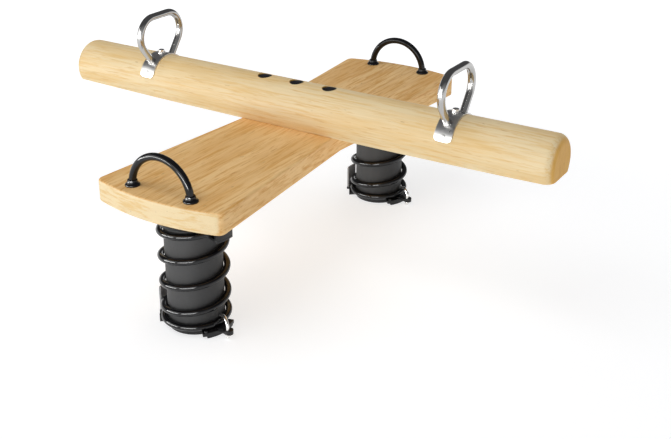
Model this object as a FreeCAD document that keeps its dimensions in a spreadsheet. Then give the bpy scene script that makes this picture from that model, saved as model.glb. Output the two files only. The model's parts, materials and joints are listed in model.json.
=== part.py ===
"""Two-spring playground rocker: a waisted seat board on two coil springs with a log beam across it.

Frame: millimetres, +Z up, origin on the ground under the middle of the board.
The log beam runs along X and the seat board along Y; the front spring is the one at -Y.
"""
import FreeCAD, Part
import math
import os
import re
from collections import namedtuple

import Sketcher
from FreeCAD import Placement, Rotation, Vector

doc = FreeCAD.newDocument("rocker")
sheet = doc.addObject("Spreadsheet::Sheet", "Dims")

# Driving dimensions: name, value in millimetres or degrees, what it is.
DIMENSIONS = [
    ("board_top", 420, "top face of the seat board above the ground"),
    ("board_thick", 61, "seat board thickness"),
    ("board_end_half", 202.5, "half width of the board at its ends"),
    ("board_waist_half", 151.5, "half width of the board under the log"),
    ("board_corner_y", 624, "distance of the end corners from the middle"),
    ("board_end_radius", 645, "radius of the bowed end faces"),
    ("board_corner_radius", 22, "plan radius of the four corners"),
    ("board_rim", 6, "rounding of the top and bottom rims"),
    ("log_radius", 77, "radius of the log"),
    ("log_axis_z", 466, "height of the log axis"),
    ("log_half", 810.5, "half length of the log"),
    ("log_end_round", 25, "rounding of the log ends"),
    ("log_flat_half", 155, "half length of the level flat that sits on the board"),
    ("log_end_rise", 10, "rise of the underside at the log ends"),
    ("bolt_pitch", 111.7, "spacing of the three through bolts along the log"),
    ("bolt_radius", 6, "through bolt shank"),
    ("bolt_hole", 6.5, "through bolt hole"),
    ("bolt_head", 15.2, "radius of the through bolt head"),
    ("bolt_head_height", 7, "height of the through bolt head"),
    ("bolt_washer", 18, "radius of the through bolt washer"),
    ("bolt_nut", 19, "through bolt nut across flats"),
    ("plug_radius", 21.2, "cover plug"),
    ("plug_hole", 21.5, "counterbore for head and plug"),
    ("plug_height", 12, "height of the cover plug"),
    ("plug_crown", 2, "height and setback of the plug's bevelled crown"),
    ("plug_seat_z", 519, "floor of the counterbore"),
    ("plug_top_z", 541, "top of the cover plug"),
    ("handle_x", 507, "distance of the steel handles from the middle"),
    ("handle_bar", 11, "radius of the handle bar"),
    ("handle_top_z", 667.5, "centre line height of the handle's top bar"),
    ("handle_bend", 58, "centre line radius of the handle's two bends"),
    ("handle_foot_y", 26, "centre line offset of the handle's feet, inside the saddle"),
    ("handle_foot_z", 502, "centre line height of those feet"),
    ("handle_lean", 53.5, "angle of the handle's legs from level"),
    ("handle_bolt", 5, "radius of the bolt that holds a handle"),
    ("handle_bolt_hole", 5.5, "hole for that bolt"),
    ("handle_bolt_pilot", 5.15, "pilot hole for that bolt in the log"),
    ("handle_bolt_depth", 90, "depth of the pilot hole below the log's crest"),
    ("handle_bolt_length", 80, "length of that bolt's shank"),
    ("handle_bolt_head", 17, "head of that bolt across flats"),
    ("handle_head_height", 8, "height of that bolt's head"),
    ("handle_washer", 12, "radius of that bolt's washer"),
    ("handle_washer_thick", 2.5, "thickness of that bolt's washer"),
    ("saddle_thick", 4, "saddle strap thickness"),
    ("saddle_half", 26, "half width of the saddle strap"),
    ("saddle_drop", 22, "height of the strap's lower edges above the log axis"),
    ("saddle_corner", 14, "rounding of the strap's lower corners"),
    ("hoop_y", 606, "distance of the hoop handles from the middle"),
    ("hoop_radius", 94, "centre line radius of the hoop"),
    ("hoop_tube", 10, "radius of the hoop tube"),
    ("hoop_rise", 2, "height of the hoop's centre above the board"),
    ("hoop_stud", 5, "radius of the hoop's threaded ends"),
    ("hoop_stud_hole", 5.5, "hole for the threaded ends"),
    ("hoop_washer", 15, "radius of the hoop washer"),
    ("hoop_nut", 17, "hoop nut across flats"),
    ("collar_radius", 20, "foot of the hoop's bell collar"),
    ("collar_neck", 12.5, "neck of the bell collar"),
    ("collar_flange", 4, "thickness of the collar's flange"),
    ("collar_height", 16, "height of the bell collar"),
    ("spring_y", 494, "distance of the springs from the middle"),
    ("coil_radius", 87, "mean radius of the coil"),
    ("wire_radius", 9, "radius of the spring wire"),
    ("sleeve_radius", 77, "outer radius of the core sleeve"),
    ("sleeve_wall", 6, "wall of the core sleeve"),
    ("base_thick", 8, "thickness of the base plate"),
    ("base_ear_in", 60, "inner radius of the base plate's ears, inside the disc"),
    ("base_ear_out", 103, "outer radius of the base plate's ears under the shoes"),
    ("base_tongue_out", 115, "outer radius of the ear under the tall bracket"),
    ("lip_in", 97, "inner face of the upturned lip on the base plate"),
    ("lip_out", 100.5, "outer face of that lip"),
    ("lip_top", 22, "top of that lip"),
    ("anchor_pcd", 110, "pitch circle of the ground anchor holes"),
    ("anchor_hole", 6.5, "radius of the ground anchor holes"),
    ("shoe_in", 84, "inner radius of the base shoes"),
    ("shoe_rib_out", 96, "outer radius of the shoe's inner rib"),
    ("shoe_out", 106, "outer radius of the base shoes"),
    ("lug_radius", 11.5, "radius of the lug round a hook bolt"),
    ("lug_height", 12, "height of that lug"),
    ("lug_z", 14, "underside of that lug"),
    ("lug_arm_in", 98, "inner end of the arm that carries the lug"),
    ("lug_arm_height", 8, "height of that arm"),
    ("lug_hole", 4.9, "hole through the lug"),
    ("shoe_bolt_at", 101.3, "distance of the shoe bolts from the spring axis"),
    ("shoe_bolt_head", 8, "shoe bolt head across flats"),
    ("shoe_bolt_height", 5, "height of the shoe bolt head"),
    ("hook_radius", 4.5, "radius of the hook bolt bar"),
    ("hook_in", 80, "distance of the hook bolt's inner tip from the spring axis"),
    ("hook_at", 133, "distance of the hook bolt's leg from the spring axis"),
    ("hook_bend", 22, "centre line radius of the hook bolt's bend"),
    ("hook_tip_z", 4.6, "lower end of the hook bolt"),
    ("hook_nut", 13, "hook bolt nut across flats"),
    ("hook_nut_height", 6.5, "height of that nut"),
    ("dome_radius", 6.5, "radius of the dome nut"),
    ("dome_z", 7.5, "middle of the dome nut's ball and its flat top"),
    ("dome_foot_z", 0.5, "lowest point a dome nut may reach"),
    ("top_thick", 10, "thickness of the top plate"),
    ("top_half", 105, "half width of the square top plate"),
    ("top_round", 126, "radius that trims the corners of the top plate"),
    ("top_screw_at", 86, "offset of the top plate screws from the spring axis"),
    ("top_screw_head", 13, "top plate screw head across flats"),
    ("top_screw_height", 5.5, "height of that head"),
    ("clamp_in", 80, "inner radius of the upper clamp plates"),
    ("clamp_wall_in", 110.5, "inner radius of the wall between a clamp plate and its spacer"),
    ("clamp_thick", 7, "thickness of the upper clamp plates"),
    ("clamp_bolt_at", 105, "distance of the clamp bolts from the spring axis"),
    ("clamp_bolt_head", 13, "clamp bolt head across flats"),
    ("clamp_bolt_height", 6, "height of that head"),
    ("bracket_in", 107.5, "inner face of the tall bracket"),
    ("bracket_out", 113, "outer face of the tall bracket's upright"),
    ("bracket_foot_out", 122.5, "outer edge of the tall bracket's foot"),
    ("bracket_foot", 6, "thickness of that foot"),
    ("bracket_top", 80, "top of the tall bracket"),
    ("bracket_round", 5, "rounding of the upright's top corners"),
    ("bracket_bolt_at", 117.7, "distance of the bolt in that foot from the spring axis"),
    ("bracket_bolt_head", 8, "head of that bolt across flats"),
    ("bracket_bolt_height", 5, "height of that head"),
    ("bracket_bolt_hole", 2.8, "radius of the hole for that bolt"),
    ("screw_radius", 4, "shank of the board screws and clamp bolts"),
    ("screw_depth", 45, "depth of the board screws in the board"),
    ("nut_height", 10, "height of the nuts under the board"),
    ("washer_thick", 3, "thickness of the washers under the board"),
    ("bolt_tail", 4, "through bolt below its nut"),
    ("stud_tail", 2, "hoop stud below its nut"),
]
for row, (alias, value, note) in enumerate(DIMENSIONS, start=1):
    sheet.set(f"A{row}", alias)
    sheet.set(f"B{row}", str(value))
    sheet.set(f"C{row}", note)
    sheet.setAlias(f"B{row}", alias)
doc.recompute()
ALIASES = [alias for alias, _, _ in DIMENSIONS]
WORD = re.compile(r"\b(" + "|".join(ALIASES) + r")\b")

UNDERSIDE = "(board_top - board_thick)"
PLATE_Z = f"({UNDERSIDE} - top_thick)"

# The coil's slope in millimetres a turn: closed turns, a ramp, open turns, a ramp, closed turns.
# Turn 0 is the lowest strand that faces the -58 degree direction.
COIL_ZERO_ANGLE = -58.0
COIL_START, COIL_STOP = -0.35, 5.0
COIL_ZERO_Z = 26.8
LOW_SLOPE, OPEN_SLOPE, TOP_SLOPE = 14.6, 75.5, 18.0
LOW_RAMP = (0.05, 0.95)
TOP_RAMP = (3.6, 4.5)
RAMP_STEPS = 6

# Clamps that hold the coil: angles about the spring axis in degrees, and heights in millimetres.
BaseClamp = namedtuple("BaseClamp", "start stop hook rib_top")
TopClamp = namedtuple("TopClamp", "start stop spacer_z clamp_z out")
BASE_CLAMPS = (BaseClamp(-43.0, 17.0, -14.0, 17.5), BaseClamp(112.0, 165.0, 140.0, 30.2))
TOP_CLAMPS = (TopClamp(-21.0, 5.0, 312.5, 280.5, 124.0), TopClamp(150.0, 202.0, 323.8, 295.2, 113.0))
CLAMP_BOLT_INSET = 7.0
SHOE_BOLT_INSET = 5.0
EAR_INSET = 7.0
HOOK_SKEW, HOOK_DIP = -19.0, 20.0
LUG_OFFSET = 2.0
BRACKET_SPAN = (168.0, 192.0)
FOOT_SPAN = (168.0, 179.0)
LIP_SPAN = (196.0, 218.0)

SIDES = (-1, 1)
FRONT_BACK = (("front", -1), ("back", 1))
LEFT_RIGHT = (("left", -1), ("right", 1))

# Fits and allowances, in millimetres.
OVERCUT = 5.0
FIT = 0.15
CLEARANCE = 0.3
HOOK_CLEARANCE = 1.0
SKIN = 0.05
SHOE_FLOOR = 4.0

TAB_SCREW_ANGLE = 27.0
TAB_SCREW_FOOT, TAB_SCREW_TOP, TAB_SCREW_HEIGHT = 5.5, 4.0, 2.0

ALONG_X = Vector(1, 0, 0)
ALONG_Y = Vector(0, 1, 0)
ALONG_Z = Vector(0, 0, 1)

nodes = {}


# ---- Spreadsheet and primitives


def formula(text):
    """A spreadsheet expression from a text in the dimensions' plain names."""
    return WORD.sub(r"Dims.\1", str(text))


def evaluate(text):
    """The value of such a text."""
    return float(sheet.evalExpression(str(text)))


def dim(name):
    return float(sheet.get(name))


def bind(obj, **sizes):
    for name, text in sizes.items():
        obj.setExpression(name, formula(text))


def place(obj, x=0, y=0, z=0, turn=0.0, axis=ALONG_Z):
    obj.Placement = Placement(Vector(0, 0, 0), Rotation(axis, turn))
    for letter, text in (("x", x), ("y", y), ("z", z)):
        obj.setExpression(f"Placement.Base.{letter}", formula(text))
    return obj


def keep(label, obj):
    """Name a finished sub-part, which is then written out as its own file."""
    obj.Label = label
    nodes[label] = obj
    return obj


def cylinder(radius, height, x=0, y=0, z=0, angle=360.0, turn=0.0):
    obj = doc.addObject("Part::Cylinder", "cylinder")
    bind(obj, Radius=radius, Height=height)
    obj.Angle = angle
    return place(obj, x, y, z, turn)


def lying_cylinder(radius, length, x, z):
    """A cylinder along X from x."""
    return place(cylinder(radius, length), x, 0, z, turn=90, axis=ALONG_Y)


def cone(foot, top, height, x=0, y=0, z=0):
    obj = doc.addObject("Part::Cone", "cone")
    bind(obj, Radius1=foot, Radius2=top, Height=height)
    return place(obj, x, y, z)


def hexagon(across, height, x=0, y=0, z=0):
    obj = doc.addObject("Part::Prism", "hexagon")
    obj.Polygon = 6
    bind(obj, Circumradius=f"({across}) / 2 / cos(30)", Height=height)
    return place(obj, x, y, z)


def box(length, width, height, x=0, y=0, z=0):
    obj = doc.addObject("Part::Box", "box")
    bind(obj, Length=length, Width=width, Height=height)
    return place(obj, x, y, z)


def fuse(*shapes):
    obj = doc.addObject("Part::MultiFuse", "fuse")
    obj.Shapes = list(shapes)
    return obj


def common(*shapes):
    obj = doc.addObject("Part::MultiCommon", "common")
    obj.Shapes = list(shapes)
    return obj


def cut(base, *tools):
    obj = doc.addObject("Part::Cut", "cut")
    obj.Base = base
    obj.Tool = tools[0] if len(tools) == 1 else fuse(*tools)
    return obj


def solid(shape):
    """A shape worked out in code, as an object of the document."""
    obj = doc.addObject("Part::Feature", "solid")
    obj.Shape = shape
    return obj


def copies(master, places):
    """A compound of linked copies of one piece at (x, y)."""
    links = []
    for x, y in places:
        link = doc.addObject("App::Link", "copy")
        link.LinkedObject = master
        for letter, text in (("x", x), ("y", y)):
            link.setExpression(f"LinkPlacement.Base.{letter}", formula(text))
        links.append(link)
    return group_of(links)


def group_of(pieces):
    group = doc.addObject("Part::Compound", "group")
    group.Links = pieces
    return group


def moved_group(pieces, side):
    """Several solids built about the spring axis, carried out to one spring."""
    return place(group_of(pieces), y=f"{side} * spring_y")


def sector(inner, outer, low, high, start, stop):
    """A ring sector about Z between two angles."""
    height = f"({high}) - ({low})"
    ring = cylinder(outer, height, z=low, angle=stop - start, turn=start)
    bore = cylinder(inner, height, z=low)
    return cut(ring, bore)


def polar(radius, angle):
    """The x and y of a point at a distance and direction from the spring axis."""
    turn = math.radians(angle)
    return f"({radius}) * {math.cos(turn):.6f}", f"({radius}) * {math.sin(turn):.6f}"


def washer(hole, radius, z, thick="washer_thick"):
    return cut(cylinder(radius, thick, z=z), cylinder(hole, thick, z=z))


def nut(thread, across, z, height="nut_height"):
    return cut(hexagon(across, height, z=z), cylinder(f"{thread} + {FIT}", height, z=z))


# ---- PartDesign helpers


def new_body(label):
    return keep(label, doc.addObject("PartDesign::Body", label))


def new_sketch(body, role, height=0):
    plane = next(f for f in body.Origin.OriginFeatures if f.Role == role)
    sketch = body.newObject("Sketcher::SketchObject", "sketch")
    sketch.AttachmentSupport = [(plane, "")]
    sketch.MapMode = "FlatFace"
    if height:
        sketch.setExpression("AttachmentOffset.Base.z", formula(height))
    return sketch


def constrain(sketch, text, kind, *where):
    """Add a constraint whose value is a spreadsheet formula."""
    number = sketch.addConstraint(Sketcher.Constraint(kind, *where, evaluate(text)))
    sketch.setExpression(f"Constraints[{number}]", formula(text))


def fix_point(sketch, index, end, x, y):
    """Hold one end of a sketch edge at two spreadsheet formulas."""
    constrain(sketch, x, "DistanceX", -1, 1, index, end)
    constrain(sketch, y, "DistanceY", -1, 1, index, end)


def hole_circle(sketch, x, y, radius):
    circle = Part.Circle(Vector(evaluate(x), evaluate(y), 0), ALONG_Z, evaluate(radius))
    index = sketch.addGeometry(circle, False)
    constrain(sketch, radius, "Radius", index)
    fix_point(sketch, index, 3, x, y)


def feature(body, kind, sketch, midplane=False, reverse=False, **sizes):
    """A Pad or Pocket of a sketch; a Pocket has to take material away."""
    before = body.Shape.Volume if kind == "Pocket" else 0.0
    made = body.newObject(f"PartDesign::{kind}", kind)
    made.Profile = sketch
    made.SideType = "Symmetric" if midplane else "One side"
    made.Reversed = reverse
    bind(made, **sizes)
    doc.recompute()
    if kind == "Pocket" and body.Shape.Volume > before - 1.0:
        raise RuntimeError(f"{body.Label}: a pocket cuts nothing")
    return made


def round_edges(body, feature_in, radius, wanted):
    """Fillet the edges of the last feature that the test picks."""
    edges = feature_in.Shape.Edges
    names = [f"Edge{i}" for i, edge in enumerate(edges, start=1) if wanted(edge)]
    made = body.newObject("PartDesign::Fillet", "Fillet")
    made.Base = (feature_in, names)
    bind(made, Radius=radius)
    doc.recompute()
    return made


def filleted(base, radius, wanted):
    """A primitive with the edges rounded that the test picks."""
    doc.recompute()
    obj = doc.addObject("Part::Fillet", "rounded")
    obj.Base = base
    size = dim(radius)
    edges = enumerate(base.Shape.Edges, start=1)
    obj.Edges = [(index, size, size) for index, edge in edges if wanted(edge)]
    return obj


# ---- Seat board


def seat_board():
    body = new_body("seat_board")
    plank = feature(body, "Pad", board_outline(body), Length="board_thick")
    far = dim("board_corner_y") / 2
    corners = round_edges(body, plank, "board_corner_radius", lambda edge: upright_beyond(edge, far))
    faces = (dim("board_top"), dim("board_top") - dim("board_thick"))
    round_edges(body, corners, "board_rim", lambda edge: flat_at(edge, faces))
    holes = new_sketch(body, "XY_Plane", UNDERSIDE)
    for step in (-1, 0, 1):
        hole_circle(holes, f"{step} * bolt_pitch", "0", "bolt_hole")
    for sx in SIDES:
        for sy in SIDES:
            hole_circle(holes, f"{sx} * hoop_radius", f"{sy} * hoop_y", "hoop_stud_hole")
    feature(body, "Pocket", holes, reverse=True, Length="board_thick")
    pilots = new_sketch(body, "XY_Plane", UNDERSIDE)
    for x, y in top_screw_spots("front") + top_screw_spots("back"):
        hole_circle(pilots, x, y, f"screw_radius + {FIT}")
    feature(body, "Pocket", pilots, reverse=True, Length="screw_depth + 1")


def board_outline(body):
    """Two sides that taper in to the waist, closed by a bowed end each way."""
    sketch = new_sketch(body, "XY_Plane", UNDERSIDE)
    waist, end, corner = (dim(n) for n in ("board_waist_half", "board_end_half", "board_corner_y"))
    for sx in SIDES:
        for sy in SIDES:
            side = Part.LineSegment(Vector(sx * waist, 0, 0), Vector(sx * end, sy * corner, 0))
            index = sketch.addGeometry(side, False)
            fix_point(sketch, index, 1, f"{sx} * board_waist_half", "0")
            fix_point(sketch, index, 2, f"{sx} * board_end_half", f"{sy} * board_corner_y")
    bow = dim("board_end_radius")
    half_angle = math.asin(end / bow)
    centre_y = corner - bow * math.cos(half_angle)
    for sy in SIDES:
        circle = Part.Circle(Vector(0, sy * centre_y, 0), ALONG_Z, bow)
        middle = sy * math.pi / 2
        arc = Part.ArcOfCircle(circle, middle - half_angle, middle + half_angle)
        index = sketch.addGeometry(arc, False)
        fix_point(sketch, index, 1, f"{sy} * board_end_half", f"{sy} * board_corner_y")
        fix_point(sketch, index, 2, f"{-sy} * board_end_half", f"{sy} * board_corner_y")
        constrain(sketch, "board_end_radius", "Radius", index)
    return sketch


def upright_beyond(edge, far):
    """True of a vertical edge that lies further than far from the board's middle."""
    one, other = edge.Vertexes[0], edge.Vertexes[-1]
    upright = abs(one.Z - other.Z) > 1 and abs(one.X - other.X) + abs(one.Y - other.Y) < 0.1
    return upright and abs(one.Y) > far


def flat_at(edge, heights):
    return any(all(abs(v.Z - z) < 0.01 for v in edge.Vertexes) for z in heights)


# ---- Log beam


def log_beam():
    body = new_body("log_beam")
    section = new_sketch(body, "YZ_Plane")
    hole_circle(section, "0", "log_axis_z", "log_radius")
    log = feature(body, "Pad", section, midplane=True, Length="2 * log_half")
    round_edges(body, log, "log_end_round", lambda edge: edge.Closed)
    feature(body, "Pocket", log_underside(body), midplane=True, Length="4 * log_radius")
    holes = new_sketch(body, "XY_Plane", "board_top - 1")
    seats = new_sketch(body, "XY_Plane", "plug_seat_z")
    blind = new_sketch(body, "XY_Plane", "log_axis_z + log_radius - handle_bolt_depth")
    for step in (-1, 0, 1):
        hole_circle(holes, f"{step} * bolt_pitch", "0", "bolt_hole")
        hole_circle(seats, f"{step} * bolt_pitch", "0", "plug_hole")
    for side in SIDES:
        hole_circle(blind, f"{side} * handle_x", "0", "handle_bolt_pilot")
    for sketch in (holes, seats, blind):
        feature(body, "Pocket", sketch, reverse=True, Length="3 * log_radius")


def log_underside(body):
    """What is cut away below the log: a level seat on the board that rises in an arc to each end."""
    sketch = new_sketch(body, "XZ_Plane")
    half, flat = f"(log_half + {OVERCUT})", "log_flat_half"
    end_z = f"board_top + log_end_rise * pow(({half} - {flat}) / (log_half - {flat}); 2)"
    low_z = "board_top - log_radius"
    corners = [
        (f"-{half}", low_z),
        (half, low_z),
        (half, end_z),
        (flat, "board_top"),
        (f"-{flat}", "board_top"),
        (f"-{half}", end_z),
    ]
    run, rise = evaluate(f"{half} - {flat}"), evaluate(f"{end_z} - board_top")
    arch = (run * run + rise * rise) / (2 * rise)
    turn = math.asin(run / arch)
    spans = {2: (1, 0.0, turn), 4: (-1, -turn, 0.0)}
    for number, (start, stop) in enumerate(zip(corners, corners[1:] + corners[:1])):
        if number in spans:
            side, low, high = spans[number]
            centre = Vector(side * evaluate(flat), evaluate("board_top") + arch, 0)
            circle = Part.Circle(centre, ALONG_Z, arch)
            line = Part.ArcOfCircle(circle, low - math.pi / 2, high - math.pi / 2)
            start, stop = sorted((start, stop), key=lambda corner: evaluate(corner[0]))
        else:
            line = Part.LineSegment(*(Vector(evaluate(x), evaluate(z), 0) for x, z in (start, stop)))
        index = sketch.addGeometry(line, False)
        fix_point(sketch, index, 1, *start)
        fix_point(sketch, index, 2, *stop)
    return sketch


def log_fasteners():
    """Three carriage bolts through the log and the board, their cover plugs, washers and nuts."""
    spots = [(f"{step} * bolt_pitch", "0") for step in (-1, 0, 1)]
    washer_z = f"{UNDERSIDE} - washer_thick"
    nut_z = f"{washer_z} - nut_height"
    tip_z = f"{nut_z} - bolt_tail"
    head = cylinder("bolt_head", "bolt_head_height", z="plug_seat_z")
    shank = cylinder("bolt_radius", f"plug_seat_z - ({tip_z}) + 1", z=tip_z)
    disc = cylinder("plug_radius", "plug_height - plug_crown", z="plug_top_z - plug_height")
    crown = cone("plug_radius", "plug_radius - plug_crown", "plug_crown", z="plug_top_z - plug_crown")
    keep("log_bolts", copies(fuse(shank, head), spots))
    keep("log_bolt_plugs", copies(fuse(disc, crown), spots))
    keep("log_bolt_washers", copies(washer("bolt_hole", "bolt_washer", washer_z), spots))
    keep("log_bolt_nuts", copies(nut("bolt_radius", "bolt_nut", nut_z), spots))


# ---- Hoop handles on the board


def hoop_handles():
    washer_z = f"{UNDERSIDE} - washer_thick"
    nut_z = f"{washer_z} - nut_height"
    tip_z = f"{nut_z} - stud_tail"
    for name, side in FRONT_BACK:
        spots = [(f"{sx} * hoop_radius", f"{side} * hoop_y") for sx in SIDES]
        legs = []
        for x, y in spots:
            legs.append(cylinder("hoop_tube", "hoop_rise", x, y, "board_top"))
            legs.append(cylinder("hoop_stud", f"board_top - ({tip_z})", x, y, tip_z))
        keep(f"hoop_handle_{name}", fuse(half_ring("hoop_tube", side), *legs))
        arch_fit = half_ring(f"hoop_tube + {FIT}", side)
        keep(f"hoop_collars_{name}", cut(copies(bell_collar(), spots), arch_fit))
        hoop_washer = washer("hoop_stud_hole", "hoop_washer", washer_z)
        keep(f"hoop_washers_{name}", copies(hoop_washer, spots))
        keep(f"hoop_nuts_{name}", copies(nut("hoop_stud", "hoop_nut", nut_z), spots))


def half_ring(tube, side):
    """The upper half of an upright ring whose ends meet the board."""
    arch = doc.addObject("Part::Torus", "arch")
    bind(arch, Radius1="hoop_radius", Radius2=tube)
    arch.Angle3 = 180
    return place(arch, y=f"{side} * hoop_y", z="board_top + hoop_rise", turn=90, axis=ALONG_X)


def bell_collar():
    """A flared foot that slips over the tube: a flange with a cone on it."""
    flange = cylinder("collar_radius", "collar_flange", z="board_top")
    bell_z = "board_top + collar_flange"
    bell = cone("collar_radius - 1", "collar_neck", "collar_height - collar_flange", z=bell_z)
    bore = cylinder(f"hoop_tube + {FIT}", "collar_height", z="board_top")
    return cut(fuse(flange, bell), bore)


# ---- Steel handles on the log


def steel_handles():
    """A closed stirrup: a level top bar, two wide bends and two legs that lean in to the saddle."""
    reach = dim("log_radius") + dim("saddle_thick")
    for name, side in LEFT_RIGHT:
        x = side * dim("handle_x")
        path = stirrup_path(x)
        start = path.OrderedEdges[0]
        at = start.FirstParameter
        ring = Part.makeCircle(dim("handle_bar"), start.valueAt(at), start.tangentAt(at))
        bar = path.makePipeShell([Part.Wire([ring])], True, False)
        overhang = dim("saddle_half")
        seat_start = Vector(x - overhang, 0, dim("log_axis_z"))
        seat = Part.makeCylinder(reach, 2 * overhang, seat_start, ALONG_X)
        keep(f"steel_handle_{name}", solid(bar.cut(seat)))


def stirrup_path(x):
    """The handle's centre line at x, from the front foot over the top to the back foot."""
    lean = math.radians(dim("handle_lean"))
    top, bend = dim("handle_top_z"), dim("handle_bend")
    foot_y, foot_z = dim("handle_foot_y"), dim("handle_foot_z")
    corner_y = foot_y + (top - foot_z) / math.tan(lean)
    reach = bend * math.tan((math.pi - lean) / 2)
    tangent_y, tangent_z = corner_y - reach * math.cos(lean), top - reach * math.sin(lean)
    centre = Vector(x, corner_y - reach, top - bend)
    chord = Vector(x, (tangent_y + centre.y) / 2, (tangent_z + top) / 2)
    crest = centre + (chord - centre).normalize() * bend
    front, back = (
        [Vector(x, sy * y, z) for y, z in (
            (foot_y, foot_z), (tangent_y, tangent_z), (crest.y, crest.z), (centre.y, top),
        )]
        for sy in SIDES
    )
    edges = [
        Part.LineSegment(front[0], front[1]),
        Part.Arc(front[1], front[2], front[3]),
        Part.LineSegment(front[3], back[3]),
        Part.Arc(back[3], back[2], back[1]),
        Part.LineSegment(back[1], back[0]),
    ]
    return Part.Wire([edge.toShape() for edge in edges])


def saddles():
    """Curved straps over the log: a tube trimmed by a tall block whose lower edges are rounded."""
    length, low = "2 * saddle_half", "log_axis_z + saddle_drop"
    crest_z = dim("log_axis_z") + dim("log_radius")
    for name, side in LEFT_RIGHT:
        x = f"{side} * handle_x"
        start = f"{x} - saddle_half"
        outer = lying_cylinder("log_radius + saddle_thick", length, start, "log_axis_z")
        inner = lying_cylinder(f"log_radius + {SKIN}", length, start, "log_axis_z")
        block = box(length, "4 * log_radius", "2 * log_radius", start, "-2 * log_radius", low)
        rounded = filleted(block, "saddle_corner", lambda edge: along_y_below(edge, crest_z))
        strap = common(cut(outer, inner), rounded)
        hole = cylinder("handle_bolt_hole", "2 * log_radius", x, 0, "log_axis_z")
        keep(f"handle_saddle_{name}", cut(strap, hole))


def along_y_below(edge, height):
    """True of an edge along Y that lies below a height."""
    start, stop = edge.Vertexes[0].Point, edge.Vertexes[-1].Point
    return abs(start.y - stop.y) > 1 and edge.CenterOfMass.z < height


def saddle_fasteners():
    """The bolt and washer on each saddle's crest, and the low screw head on each of its tabs."""
    spots = [(f"{side} * handle_x", "0") for side in SIDES]
    crest = "(log_axis_z + log_radius + saddle_thick)"
    head_z = f"{crest} + handle_washer_thick"
    shank_top = f"{crest} + 3"
    ring = washer("handle_bolt_hole", "handle_washer", crest, "handle_washer_thick")
    head = hexagon("handle_bolt_head", "handle_head_height", z=head_z)
    shank = cylinder("handle_bolt", "handle_bolt_length", z=f"{shank_top} - handle_bolt_length")
    keep("saddle_washers", copies(ring, spots))
    keep("saddle_bolts", copies(fuse(head, shank), spots))
    screws = []
    reach = dim("log_radius") + dim("saddle_thick")
    turn = math.radians(TAB_SCREW_ANGLE)
    rise = dim("log_axis_z") + reach * math.sin(turn)
    for side in SIDES:
        for sy in SIDES:
            screw = cone(TAB_SCREW_FOOT, TAB_SCREW_TOP, TAB_SCREW_HEIGHT)
            foot_y = sy * reach * math.cos(turn)
            tilt = -sy * (90 - TAB_SCREW_ANGLE)
            place(screw, f"{side} * handle_x", foot_y, rise, turn=tilt, axis=ALONG_X)
            screws.append(screw)
    keep("saddle_tab_screws", group_of(screws))


# ---- Springs and core sleeves


def coil_segments():
    """Pieces of helix as (slope, turns): the ramps in equal steps."""
    return [
        (LOW_SLOPE, LOW_RAMP[0] - COIL_START),
        *ramp(*LOW_RAMP, LOW_SLOPE, OPEN_SLOPE),
        (OPEN_SLOPE, TOP_RAMP[0] - LOW_RAMP[1]),
        *ramp(*TOP_RAMP, OPEN_SLOPE, TOP_SLOPE),
        (TOP_SLOPE, COIL_STOP - TOP_RAMP[1]),
    ]


def ramp(start, stop, low, high):
    shares = [(step + 0.5) / RAMP_STEPS for step in range(RAMP_STEPS)]
    return [(low + (high - low) * share, (stop - start) / RAMP_STEPS) for share in shares]


def springs():
    """Right-handed coils with closed ends, swept along joined helices."""
    for name, side in FRONT_BACK:
        z = COIL_ZERO_Z + COIL_START * LOW_SLOPE
        turn = COIL_ZERO_ANGLE + 360 * COIL_START
        edges = []
        for slope, turns in coil_segments():
            helix = Part.makeHelix(slope, slope * turns, dim("coil_radius"))
            helix.rotate(Vector(0, 0, 0), ALONG_Z, turn)
            helix.translate(Vector(0, 0, z))
            edges += helix.Edges
            z += slope * turns
            turn += 360 * turns
        path = Part.Wire(edges)
        first = path.OrderedEdges[0]
        at = first.FirstParameter
        ring = Part.makeCircle(dim("wire_radius"), first.valueAt(at), first.tangentAt(at))
        coil = solid(path.makePipeShell([Part.Wire([ring])], True, True))
        keep(f"spring_{name}", place(coil, y=f"{side} * spring_y"))


def coil_z(turns):
    """Height of the coil's centre line at a number of turns from turn 0."""
    height = COIL_ZERO_Z + COIL_START * LOW_SLOPE
    left = turns - COIL_START
    for slope, span in coil_segments():
        step = min(left, span)
        height += slope * step
        left -= step
        if left <= 0:
            break
    return height


def core_sleeves():
    height = f"{PLATE_Z} - base_thick - 2 * {CLEARANCE}"
    for name, side in FRONT_BACK:
        spot = {"y": f"{side} * spring_y", "z": f"base_thick + {CLEARANCE}"}
        outer = cylinder("sleeve_radius", height, **spot)
        inner = cylinder("sleeve_radius - sleeve_wall", height, **spot)
        keep(f"core_sleeve_{name}", cut(outer, inner))


# ---- Fittings between the springs and the board


def top_screw_spots(end):
    side = dict(FRONT_BACK)[end]
    return [
        (f"{sx} * top_screw_at", f"{side} * spring_y + {sy} * top_screw_at")
        for sx in SIDES
        for sy in SIDES
    ]


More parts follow.
